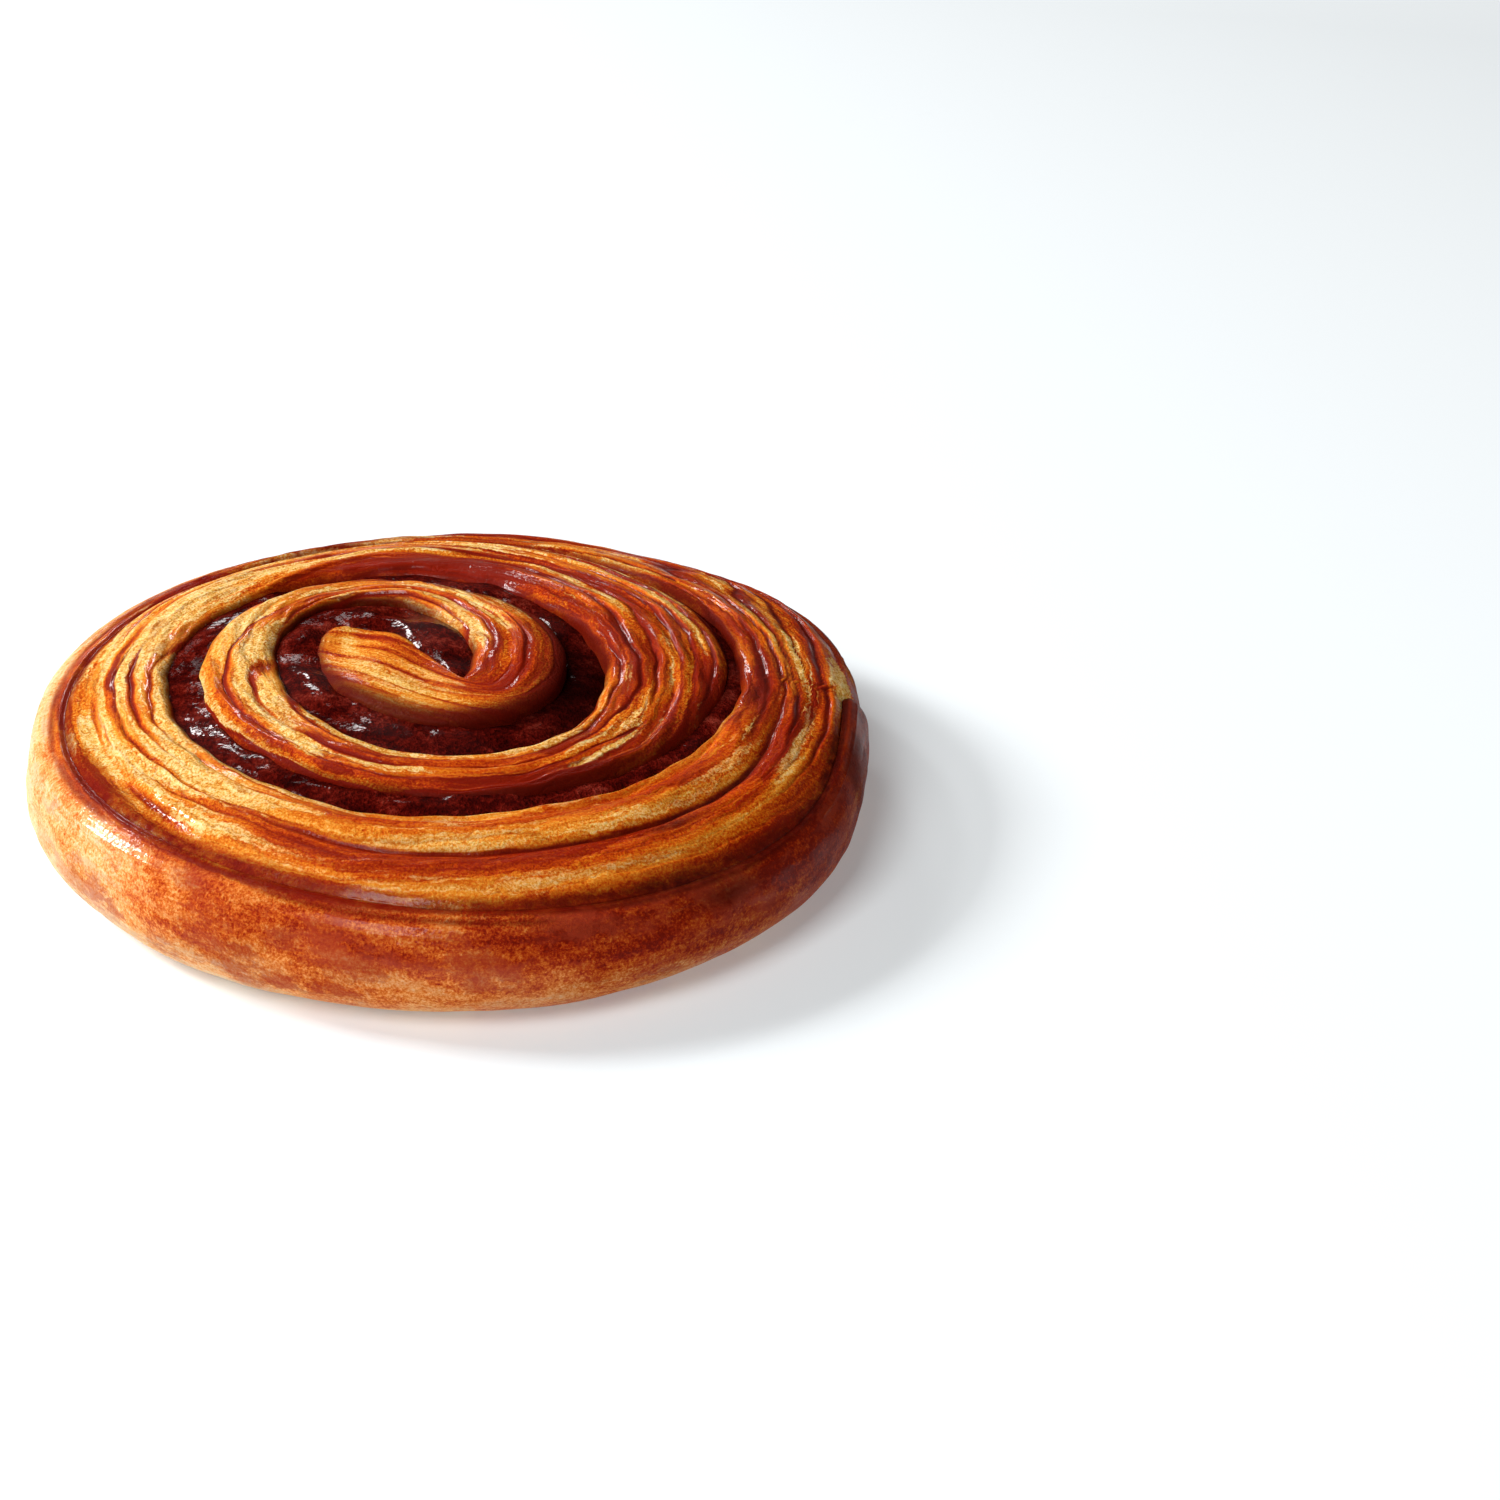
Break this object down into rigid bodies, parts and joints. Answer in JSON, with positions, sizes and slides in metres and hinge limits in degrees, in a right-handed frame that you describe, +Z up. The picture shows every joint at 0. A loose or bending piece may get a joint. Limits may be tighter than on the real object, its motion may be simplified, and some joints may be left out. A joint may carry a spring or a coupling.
{
  "type": "cinnamon roll",
  "caption": "Flat round cinnamon roll: a laminated dough strip wound into a spiral round a dark cinnamon filling that shows between the laps.",
  "frame": {"origin": "on the surface it lies on, under the middle of the roll's box", "axes": "+Z up through the domed top, +X to the right and -Y towards the camera of the picture"},
  "size_m": [0.1044, 0.1086, 0.0215],
  "materials": {
    "dough": "baked golden-brown crust with a thin clear glaze",
    "filling": "dark sticky cinnamon sugar, glossy and grainy"
  },
  "bodies": {
    "root": {"dough": "dough", "filling": "filling"}
  },
  "joints": []
}
